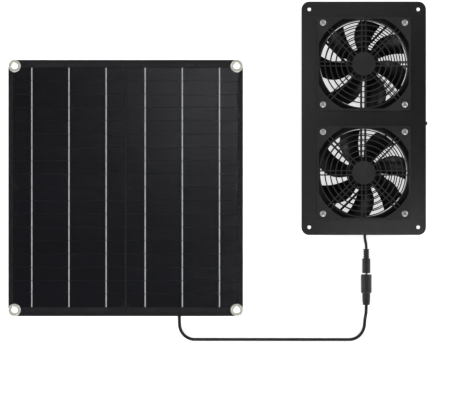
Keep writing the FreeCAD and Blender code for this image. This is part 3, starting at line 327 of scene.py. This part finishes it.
# ---------------------------------------------------------------- junction box, cords and connector


def box_plastic_material():
    return grained_plastic("box_plastic", (0.017, 0.017, 0.018), 0.42, grain=0.35 * MM, depth=0.03 * MM)


def rubber_material():
    return grained_plastic("black_rubber", (0.014, 0.014, 0.015), 0.62, grain=0.6 * MM, depth=0.025 * MM)


def zinc_material():
    """Blue-white zinc plate with brighter crystals."""
    base = (0.62, 0.62, 0.63)
    material, tree, shader, place = start_material("bright_zinc", base, 0.42, metallic=0.7)
    spots = cells_of(tree, place, scale=1500.0)
    colour = ramp(tree, spots, [(0.1, tinted(base, 1.2)), (0.6, tinted(base, 0.85))])
    tree.links.new(colour, shader.inputs["Base Color"])
    uneven_gloss(tree, shader, place, scale=1800.0, low=0.36, high=0.5)
    relief(tree, shader, spots, distance=0.008 * MM)
    return material


def brass_material():
    stretch = (120.0, 2500.0, 2500.0)
    return worked_metal("stamped_brass", (0.66, 0.48, 0.20), 0.3, stretch, depth=0.01 * MM)


def nickel_material():
    stretch = (2500.0, 150.0, 2500.0)
    return worked_metal("contact_nickel", (0.78, 0.77, 0.74), 0.2, stretch, depth=0.006 * MM)


def diode_material():
    """Black moulding with a pale band at one end, between two bare wires."""
    base = (0.018, 0.018, 0.019)
    band_place = 3.0 * MM
    half_band = 0.6 * MM
    half_moulding = 4.6 * MM
    material, tree, shader, place = start_material("diode_moulding", base, 0.35)
    low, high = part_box("bypass_diode")
    middle = (low.x + high.x) / 2
    across = axes(tree, place)[0]
    from_band = sums(tree, "ABSOLUTE", sums(tree, "SUBTRACT", across, middle + band_place))
    band = sums(tree, "LESS_THAN", from_band, half_band)
    grain = ramp(tree, noise(tree, place, scale=500.0), [(0.3, base), (0.7, tinted(base, 1.5))])
    from_middle = sums(tree, "ABSOLUTE", sums(tree, "SUBTRACT", across, middle))
    bare = sums(tree, "GREATER_THAN", from_middle, half_moulding)
    moulded = blend(tree, band, grain, (0.6, 0.6, 0.6))
    tree.links.new(blend(tree, bare, moulded, (0.55, 0.55, 0.56)), shader.inputs["Base Color"])
    tree.links.new(bare, shader.inputs["Metallic"])
    return material


def insulation_material():
    return grained_plastic("lead_insulation", (0.016, 0.016, 0.017), 0.3, grain=1.2 * MM, depth=0.02 * MM)


def jacket_material():
    """Smooth extruded jacket: faint unevenness and dull patches from handling."""
    base = (0.009, 0.009, 0.0095)
    material, tree, shader, place = start_material("cord_jacket", base, 0.36)
    mottled(tree, shader, place, base, scale=60.0, low=0.8, high=1.5)
    uneven_gloss(tree, shader, place, scale=120.0, low=0.3, high=0.48)
    relief(tree, shader, noise(tree, place, scale=700.0, detail=2.0), distance=0.03 * MM)
    return material


def plug_plastic_material():
    return grained_plastic("plug_plastic", (0.021, 0.021, 0.022), 0.4, grain=0.5 * MM, depth=0.03 * MM)


def nylon_material():
    """Undyed nylon, slightly see-through."""
    base = (0.70, 0.68, 0.60)
    material, tree, shader, place = start_material("natural_nylon", base, 0.4)
    shader.inputs["Subsurface Weight"].default_value = 0.1
    mottled(tree, shader, place, base, scale=400.0, low=0.9, high=1.08)
    relief(tree, shader, noise(tree, place, scale=2200.0), distance=0.01 * MM)
    return material


# ---------------------------------------------------------------- fan unit materials


def plate_paint_material():
    """Satin black powder coat with a faint orange peel."""
    base = (0.0050, 0.0050, 0.0052)
    material, tree, shader, place = start_material("powder_coat", base, 0.21)
    mottled(tree, shader, place, base, scale=28.0, low=0.85, high=1.2)
    uneven_gloss(tree, shader, place, scale=14.0, low=0.19, high=0.22)
    relief(tree, shader, noise(tree, place, scale=900.0, detail=2.0), distance=0.007 * MM)
    return material


def guard_plastic_material():
    return grained_plastic("guard_plastic", (0.020, 0.020, 0.0205), 0.46, grain=0.45 * MM, depth=0.03 * MM)


def housing_plastic_material():
    """Glass-filled plastic: streaks of fibre on its faces, and a bore left glossy by the mould's core."""
    base = (0.0045, 0.0045, 0.0047)
    material, tree, shader, place = start_material("housing_plastic", base, 0.5)
    flow = stretched(tree, place, (900.0, 250.0, 250.0), turn=(0.4, 0.2, 0.7))
    fibres = noise(tree, flow, scale=1.0, detail=4.0)
    colour = ramp(tree, fibres, [(0.35, base), (0.62, tinted(base, 1.4)), (0.75, tinted(base, 2.6))])
    tree.links.new(colour, shader.inputs["Base Color"])
    upper, lower = (fan_centre(fan) for fan in FANS)
    across, along, _ = axes(tree, place)
    side = sums(tree, "SUBTRACT", across, upper.x)
    from_middle = sums(tree, "ABSOLUTE", sums(tree, "SUBTRACT", along, (upper.y + lower.y) / 2))
    end = sums(tree, "SUBTRACT", from_middle, (upper.y - lower.y) / 2)
    squared = sums(tree, "ADD", sums(tree, "MULTIPLY", side, side), sums(tree, "MULTIPLY", end, end))
    off_wall = sums(tree, "ABSOLUTE", sums(tree, "SUBTRACT", sums(tree, "SQRT", squared), BORE_RADIUS))
    bore = sums(tree, "LESS_THAN", off_wall, 0.15 * MM)
    dull = spread(tree, noise(tree, place, scale=200.0), 0.4, 0.58)
    roughness = sums(tree, "SUBTRACT", dull, sums(tree, "MULTIPLY", bore, 0.3))
    tree.links.new(roughness, shader.inputs["Roughness"])
    gloss = sums(tree, "ADD", sums(tree, "MULTIPLY", bore, 0.4), 0.25)
    tree.links.new(gloss, shader.inputs["Specular IOR Level"])
    relief(tree, shader, fibres, distance=0.02 * MM, strength=0.6)
    return material


def rotor_plastic_material():
    """Hub and blades: smoother than the housing, with dull patches."""
    base = (0.0045, 0.0045, 0.0048)
    material, tree, shader, place = start_material("rotor_plastic", base, 0.40)
    shader.inputs["Specular IOR Level"].default_value = 0.28
    mottled(tree, shader, place, base, scale=90.0, low=0.8, high=1.5)
    uneven_gloss(tree, shader, place, scale=140.0, low=0.34, high=0.46)
    relief(tree, shader, noise(tree, place, scale=1300.0, detail=2.0), distance=0.015 * MM)
    return material


def yoke_material():
    stretch = (1500.0, 1500.0, 120.0)
    return worked_metal("drawn_steel", (0.40, 0.40, 0.41), 0.38, stretch, depth=0.008 * MM)


def magnet_material():
    return grained_plastic("bonded_ferrite", (0.055, 0.05, 0.045), 0.6, grain=0.15 * MM, depth=0.01 * MM)


def ground_steel_material():
    stretch = (900.0, 900.0, 3200.0)
    return worked_metal("ground_steel", (0.66, 0.66, 0.68), 0.2, stretch, depth=0.004 * MM)


def lamination_material():
    """A stack of thin sheets, seen on edge."""
    base = (0.30, 0.31, 0.33)
    material, tree, shader, place = start_material("laminations", base, 0.42, metallic=0.9)
    edges = bands(tree, place, scale=320.0, direction="Z", profile="SAW")
    colour = ramp(tree, edges, [(0.0, tinted(base, 0.5)), (0.25, base), (1.0, tinted(base, 1.1))])
    tree.links.new(colour, shader.inputs["Base Color"])
    relief(tree, shader, edges, distance=0.05 * MM)
    return material


def winding_material():
    """Layers of enamelled wire, with painted shade in the grooves between turns and a painted highlight on
    each turn's crest.
    """
    base = (0.50, 0.17, 0.06)
    material, tree, shader, place = start_material("winding_wire", base, 0.3, metallic=0.8)
    turns = bands(tree, place, scale=700.0, direction="DIAGONAL", distortion=0.6)
    # Painted shade in the grooves between turns and painted highlight on their crests; the bump below
    # gives the real relief.
    colour = ramp(tree, turns, [(0.1, tinted(base, 0.35)), (0.6, base), (1.0, tinted(base, 1.4))])
    tree.links.new(colour, shader.inputs["Base Color"])
    relief(tree, shader, turns, distance=0.12 * MM)
    return material


def circuit_material():
    """Green mask over copper pours."""
    material, tree, shader, place = start_material("circuit_board", (0.01, 0.09, 0.03), 0.3)
    pours = sums(tree, "GREATER_THAN", cells_of(tree, place, scale=420.0), 0.45)
    patches = noise(tree, place, scale=300.0)
    mask = ramp(tree, patches, [(0.3, (0.008, 0.075, 0.025)), (0.7, (0.012, 0.10, 0.035))])
    tree.links.new(blend(tree, pours, mask, (0.03, 0.17, 0.06)), shader.inputs["Base Color"])
    relief(tree, shader, pours, distance=0.04 * MM)
    return material


def tie_material():
    return grained_plastic("tie_nylon", (0.02, 0.02, 0.021), 0.33, grain=0.8 * MM, depth=0.02 * MM)


def sleeve_material():
    """Shrink sleeve: wrinkles drawn round it by the heat."""
    base = (0.015, 0.015, 0.016)
    material, tree, shader, place = start_material("shrink_sleeve", base, 0.42)
    mottled(tree, shader, place, base, scale=200.0, low=0.8, high=1.5)
    wrinkles = noise(tree, stretched(tree, place, (900.0, 220.0, 220.0)), scale=1.0)
    relief(tree, shader, wrinkles, distance=0.12 * MM)
    return material


def floor_material():
    """A light table: a pale sheet lit evenly from below."""
    material, tree, shader, place = start_material("light_table", (0.86, 0.86, 0.86), 0.7)
    patches = noise(tree, place, scale=0.7)
    shade = ramp(tree, patches, [(0.0, (0.86, 0.86, 0.86)), (1.0, (0.88, 0.88, 0.88))])
    tree.links.new(shade, shader.inputs["Base Color"])
    shader.inputs["Specular IOR Level"].default_value = 0.1
    shader.inputs["Emission Color"].default_value = (1.0, 1.0, 1.0, 1.0)
    shader.inputs["Emission Strength"].default_value = 0.72
    return material


# ---------------------------------------------------------------- which node wears what


def dress(material, *names):
    for name in names:
        mesh = nodes[name].data
        mesh.materials.clear()
        mesh.materials.append(material)


def per_fan(word):
    return [f"{fan}_{word}" for fan in FANS]


box_plastic = box_plastic_material()
rubber = rubber_material()
zinc = zinc_material()
nickel = nickel_material()
insulation = insulation_material()
jacket = jacket_material()
plug_plastic = plug_plastic_material()
guard_plastic = guard_plastic_material()
ground_steel = ground_steel_material()
ribbon_tin = ribbon_material()
tie_plastic = tie_material()
bus_black = bus_material()


def dress_panel():
    dress(backing_material(), "panel_backing")
    dress(film_material(), "panel_front_film")
    dress(silicon_material(), "cell_strips")
    dress(ribbon_tin, "cell_ribbons")
    dress(bus_black, "bus_ribbons")
    dress(eyelet_material(), "corner_eyelets", "eyelet_washers")
    dress(box_plastic, "junction_box", "junction_box_lid")
    dress(rubber, "junction_box_gasket", "cable_gland")
    dress(zinc, "junction_box_screws")
    dress(brass_material(), "junction_box_terminals")
    dress(diode_material(), "bypass_diode")
    dress(insulation, "junction_box_leads")
    dress(plug_plastic, "socket_housing", "plug_housing")
    dress(nickel, "socket_contact", "socket_pin", "plug_contacts")
    dress(nylon_material(), "plug_insulator")


def dress_fan_unit():
    dress(plate_paint_material(), "mounting_plate")
    dress(guard_plastic, *per_fan("front_guard"), *per_fan("rear_guard"))
    dress(housing_plastic_material(), *per_fan("housing"))
    dress(rotor_plastic_material(), *per_fan("impeller"))
    dress(yoke_material(), *per_fan("rotor_yoke"), *per_fan("shaft_clip"))
    dress(magnet_material(), *per_fan("rotor_magnet"))
    dress(ground_steel, *per_fan("rotor_shaft"), *per_fan("preload_washer"), *per_fan("bearings"))
    dress(lamination_material(), *per_fan("stator_core"))
    dress(winding_material(), *per_fan("stator_coils"))
    dress(circuit_material(), *per_fan("circuit_board"))
    dress(zinc, *per_fan("guard_screws"), *per_fan("guard_nuts"))
    dress(insulation, *per_fan("lead"))
    dress(tie_plastic, "lead_tie")
    dress(sleeve_material(), "lead_splice")


# ---------------------------------------------------------------- cords

PANEL_CORD_THICK = 4.2 * MM
FAN_CORD_THICK = 3.6 * MM
GLAND_END = (-0.0495, -0.16945, 0.0057)
PANEL_CORD_POINTS = [
    GLAND_END,
    (-0.0495, -0.17995, 0.0057),
    (-0.0503, -0.1920, 0.00375),
    (-0.0501, -0.2050, 0.0021),
    (-0.0498, -0.2184, 0.0021),
    (-0.0445, -0.2277, 0.0021),
    (-0.0353, -0.2330, 0.0021),
    (-0.0247, -0.2330, 0.0021),
    (0.1644, -0.2332, 0.0021),
    (0.1750, -0.2332, 0.0021),
    (0.1842, -0.2278, 0.0021),
    (0.1895, -0.2184, 0.0021),
    (0.1900, -0.2074, 0.00345),
    (0.1918, -0.19775, 0.0070),
    (0.1918, -0.18815, 0.0070),
]
SPLICE_END = (0.2115, -0.08255, 0.0071)
FAN_CORD_POINTS = [
    SPLICE_END,
    (0.2024, -0.08255, 0.0071),
    (0.1943, -0.0872, 0.0071),
    (0.1897, -0.0953, 0.0070),
    (0.1900, -0.1034, 0.0074),
    (0.1918, -0.10995, 0.0070),
    (0.1918, -0.11575, 0.0070),
]


def make_cord(name, points, thick, body, stands_for):
    """A round cord along its route, as one smooth curve."""
    curve = bpy.data.curves.new(name, "CURVE")
    curve.dimensions = "3D"
    curve.bevel_depth = thick / 2
    curve.bevel_resolution = 6
    curve.resolution_u = 10
    curve.use_fill_caps = True
    line = curve.splines.new("NURBS")
    line.points.add(len(points) - 1)
    for point, place in zip(line.points, points):
        point.co = (*place, 1.0)
    line.order_u = 3
    line.use_endpoint_u = True
    curve.materials.append(jacket)
    cord = bpy.data.objects.new(name, curve)
    bpy.context.scene.collection.objects.link(cord)
    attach(cord, body)
    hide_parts(stands_for)
    return cord


def make_cords():
    """Each cord is given its real length and thickness."""
    panel_lead = make_cord(
        "panel_cord_jacket", PANEL_CORD_POINTS, PANEL_CORD_THICK, "panel_unit", "panel_cord"
    )
    fan_lead = make_cord("fan_cord_jacket", FAN_CORD_POINTS, FAN_CORD_THICK, "fan_unit", "fan_cord")


# ---------------------------------------------------------------- small pieces


def finish_piece(name, shape, material, body, smooth=True):
    """Turns a bmesh into a piece that rides on its body."""
    mesh = bpy.data.meshes.new(name)
    shape.to_mesh(mesh)
    shape.free()
    for face in mesh.polygons:
        face.use_smooth = smooth
    mesh.materials.append(material)
    piece = bpy.data.objects.new(name, mesh)
    bpy.context.scene.collection.objects.link(piece)
    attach(piece, body)
    return piece


def turn_profile(shape, profile, centre, axis, steps=24):
    """Spins a profile of (radius, distance along the axis) into a closed turned solid."""
    way = Vector(axis).normalized()
    side = way.orthogonal().normalized()
    centre = Vector(centre)
    points = [shape.verts.new(centre + side * radius + way * along) for radius, along in profile]
    edges = [shape.edges.new(pair) for pair in zip(points, points[1:])]
    bmesh.ops.spin(
        shape,
        geom=points + edges,
        cent=centre,
        axis=way,
        angle=2 * math.pi,
        steps=steps,
        use_merge=True,
        use_duplicate=False,
    )


def close_shape(shape):
    """Merges doubled points, then turns every face outwards."""
    bmesh.ops.remove_doubles(shape, verts=shape.verts, dist=0.002 * MM)
    bmesh.ops.recalc_face_normals(shape, faces=shape.faces)


def screw_places(fan):
    centre = fan_centre(fan)
    half = SCREW_SPACING / 2
    return [centre + Vector((x * half, y * half, 0)) for x in (-1, 1) for y in (-1, 1)]


def make_screw_threads():
    """Rolled thread on each guard screw, from its nut up to the plate."""
    pitch = 0.7 * MM
    root = 1.99 * MM
    crest = 2.17 * MM
    clear_of_nut = 0.25 * MM
    clear_of_plate = 0.4 * MM
    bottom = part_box("upper_guard_nuts")[1].z + clear_of_nut
    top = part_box("mounting_plate")[0].z - clear_of_plate
    profile = [(0.0, 0.0), (root, 0.0)]
    for turn in range(int((top - bottom) / pitch)):
        profile.append((crest, (turn + 0.5) * pitch))
        profile.append((root, (turn + 1.0) * pitch))
    profile.append((0.0, profile[-1][1]))
    for fan in FANS:
        shape = bmesh.new()
        for place in screw_places(fan):
            turn_profile(shape, profile, (place.x, place.y, bottom), (0, 0, 1), steps=20)
        close_shape(shape)
        finish_piece(f"{fan}_screw_threads", shape, zinc, "fan_unit")


def make_solder_dots():
    """A flattened bead under the film beyond each end of each line of ribbon."""
    pitch = 48.0 * MM
    from_edge = 72.2 * MM
    below_ribbons = 2.6 * MM
    above_ribbons = 2.2 * MM
    low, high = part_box("cell_strips")
    ribbon_low, ribbon_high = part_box("cell_ribbons")
    middle = (low.x + high.x) / 2
    column_middle = (high.x - low.x) / 2 - from_edge
    bead = [(0.0, 0.0), (1.25 * MM, 0.0), (1.1 * MM, 0.1 * MM), (0.6 * MM, 0.17 * MM), (0.0, 0.19 * MM)]
    shape = bmesh.new()
    for column in (-1, 1):
        for ribbon in (-1, 0, 1):
            x = middle + column * column_middle + ribbon * pitch
            for y in (ribbon_low.y - below_ribbons, ribbon_high.y + above_ribbons):
                turn_profile(shape, bead, (x, y, high.z), (0, 0, 1), steps=16)
    close_shape(shape)
    finish_piece("solder_dots", shape, bus_black, "panel_unit")


def round_edges(shape, edges, radius, segments):
    bmesh.ops.bevel(
        shape,
        geom=edges,
        offset=radius,
        segments=segments,
        profile=0.5,
        affect="EDGES",
        material=-1,
        clamp_overlap=True,
    )


def make_sealant():
    """The bead of sealant that bonds the junction box to the panel."""
    bead_wide = 1.6 * MM
    bead_tall = 1.1 * MM
    bead_round = 0.7 * MM
    into_wall = 0.2 * MM
    corner = 5.4 * MM
    low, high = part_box("junction_box")
    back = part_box("panel_backing")[0].z
    size = Vector((high.x - low.x + 2 * bead_wide, high.y - low.y + 2 * bead_wide, 1.0))
    place = Vector(((low.x + high.x) / 2, (low.y + high.y) / 2, back - bead_tall))
    shape = bmesh.new()
    bmesh.ops.create_grid(shape, x_segments=1, y_segments=1, size=0.5)
    bmesh.ops.scale(shape, vec=size, verts=shape.verts)
    bmesh.ops.translate(shape, vec=place, verts=shape.verts)
    bmesh.ops.bevel(
        shape,
        geom=list(shape.verts),
        offset=corner,
        segments=6,
        profile=0.5,
        affect="VERTICES",
        material=-1,
    )
    wall = bead_wide + into_wall
    inset = bmesh.ops.inset_region(
        shape, faces=list(shape.faces), thickness=wall, use_boundary=True, use_even_offset=True
    )
    ring = set(inset["faces"])
    bmesh.ops.delete(shape, geom=[face for face in shape.faces if face not in ring], context="FACES")
    grown = bmesh.ops.extrude_face_region(shape, geom=list(shape.faces))
    lifted = [item for item in grown["geom"] if isinstance(item, bmesh.types.BMVert)]
    bmesh.ops.translate(shape, vec=(0, 0, bead_tall), verts=lifted)
    close_shape(shape)
    lower = [edge for edge in shape.edges if all(vert.co.z < back - bead_tall / 2 for vert in edge.verts)]
    rims = [edge for edge in lower if len({round(face.normal.z, 1) for face in edge.link_faces}) > 1]
    round_edges(shape, rims, radius=bead_round, segments=3)
    close_shape(shape)
    finish_piece("box_sealant", shape, rubber, "panel_unit")


def make_connector_rings():
    """Moulded rings: two at each end of the socket's body, and three on its tail."""
    body_pitch = 1.6 * MM
    body_lift = 0.16 * MM
    tail_pitch = 2.2 * MM
    tail_lift = 0.25 * MM
    tail_long = 15.1 * MM
    tail_thinner = 1.8 * MM
    sunk = 0.02 * MM
    root_depth = 0.3 * MM
    half = 0.45 * MM
    low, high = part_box("socket_housing")
    centre = (low + high) / 2
    body = (high.x - low.x) / 2 - sunk
    tail = body - tail_thinner
    front_ring = high.y - 2.2 * MM
    back_ring = low.y + tail_long + 1.8 * MM
    tail_ring = low.y + tail_long - 1.4 * MM
    rings = [(front_ring - step * body_pitch, body, body_lift) for step in range(2)]
    rings += [(back_ring + step * body_pitch, body, body_lift) for step in range(2)]
    rings += [(tail_ring - step * tail_pitch, tail, tail_lift) for step in range(3)]
    shape = bmesh.new()
    for y, radius, lift in rings:
        root = radius - root_depth
        profile = [
            (root, -half),
            (radius, -half),
            (radius + lift, -half / 2),
            (radius + lift, half / 2),
            (radius, half),
            (root, half),
            (root, -half),
        ]
        turn_profile(shape, profile, (centre.x, y, centre.z), (0, 1, 0), steps=40)
    close_shape(shape)
    finish_piece("socket_rings", shape, plug_plastic, "panel_unit")


def make_tie_teeth():
    """The teeth that show beside the tie's head."""
    size = (0.35 * MM, 2.2 * MM, 0.3 * MM)
    pitch = 0.8 * MM
    from_end = 0.7 * MM
    sunk = 0.25 * MM
    low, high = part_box("lead_tie")
    middle = (low + high) / 2
    shape = bmesh.new()
    for step in range(4):
        tooth = bmesh.ops.create_cube(shape, size=1.0)["verts"]
        bmesh.ops.scale(shape, vec=size, verts=tooth)
        place = Vector((high.x - from_end - step * pitch, middle.y, high.z - sunk))
        bmesh.ops.translate(shape, vec=place, verts=tooth)
    round_edges(shape, list(shape.edges), radius=0.06 * MM, segments=2)
    finish_piece("tie_teeth", shape, tie_plastic, "fan_unit", smooth=False)


# ---------------------------------------------------------------- studio


def make_floor():
    """A wide sheet, half a millimetre under the object."""
    shape = bmesh.new()
    bmesh.ops.create_grid(shape, x_segments=1, y_segments=1, size=14.0)
    bmesh.ops.translate(shape, vec=(0, 0, -0.5 * MM), verts=shape.verts)
    mesh = bpy.data.meshes.new("light_table")
    shape.to_mesh(mesh)
    shape.free()
    mesh.materials.append(floor_material())
    floor = bpy.data.objects.new("light_table", mesh)
    bpy.context.scene.collection.objects.link(floor)


def soft_box(name, place, aim, wide, tall, power):
    """A rectangular lamp at a place, turned towards its aim."""
    lamp = bpy.data.lights.new(name, "AREA")
    lamp.shape = "RECTANGLE"
    lamp.size = wide
    lamp.size_y = tall
    lamp.energy = power
    light = bpy.data.objects.new(name, lamp)
    light.location = place
    light.rotation_euler = (Vector(aim) - Vector(place)).to_track_quat("-Z", "Y").to_euler()
    bpy.context.scene.collection.objects.link(light)


def make_sky():
    """Pale near the horizon and dim overhead, so that level black faces stay black."""
    world = bpy.data.worlds.new("studio")
    world.use_nodes = True
    tree = world.node_tree
    place = tree.nodes.new("ShaderNodeTexCoord").outputs["Generated"]
    height = axes(tree, place)[2]
    background = tree.nodes["Background"]
    background.inputs["Color"].default_value = (0.94, 0.96, 1.0, 1.0)
    strength = spread(tree, height, low=0.8, high=0.05, from_low=0.0, from_high=0.55)
    tree.links.new(strength, background.inputs["Strength"])
    bpy.context.scene.world = world


def make_studio():
    """Three large lamps round the object, and three small ones overhead that its level faces reflect."""
    make_sky()
    soft_box("panel_glow", (0.0, 0.26, 3.2), (0.0, 0.26, 0), 0.24, 0.24, 0.75)
    soft_box("plate_low_glow", (0.39, -0.26, 3.2), (0.39, -0.26, 0), 0.2, 0.2, 1.15)
    soft_box("plate_top_glow", (0.37, 0.59, 3.2), (0.37, 0.59, 0), 0.2, 0.2, 0.45)
    soft_box("front", (0.30, -2.4, 1.9), (0.15, -0.05, 0), 1.6, 0.9, 34.0)
    soft_box("left_side", (-2.3, 0.6, 2.0), (0, 0, 0), 1.2, 1.2, 26.0)
    soft_box("right_side", (2.3, 0.8, 1.8), (0.1, 0, 0), 1.2, 1.2, 26.0)
    bpy.context.scene.view_settings.view_transform = "Standard"


make_camera()
make_cords()
dress_panel()
dress_fan_unit()
make_screw_threads()
make_solder_dots()
make_sealant()
make_connector_rings()
make_tie_teeth()
make_floor()
make_studio()
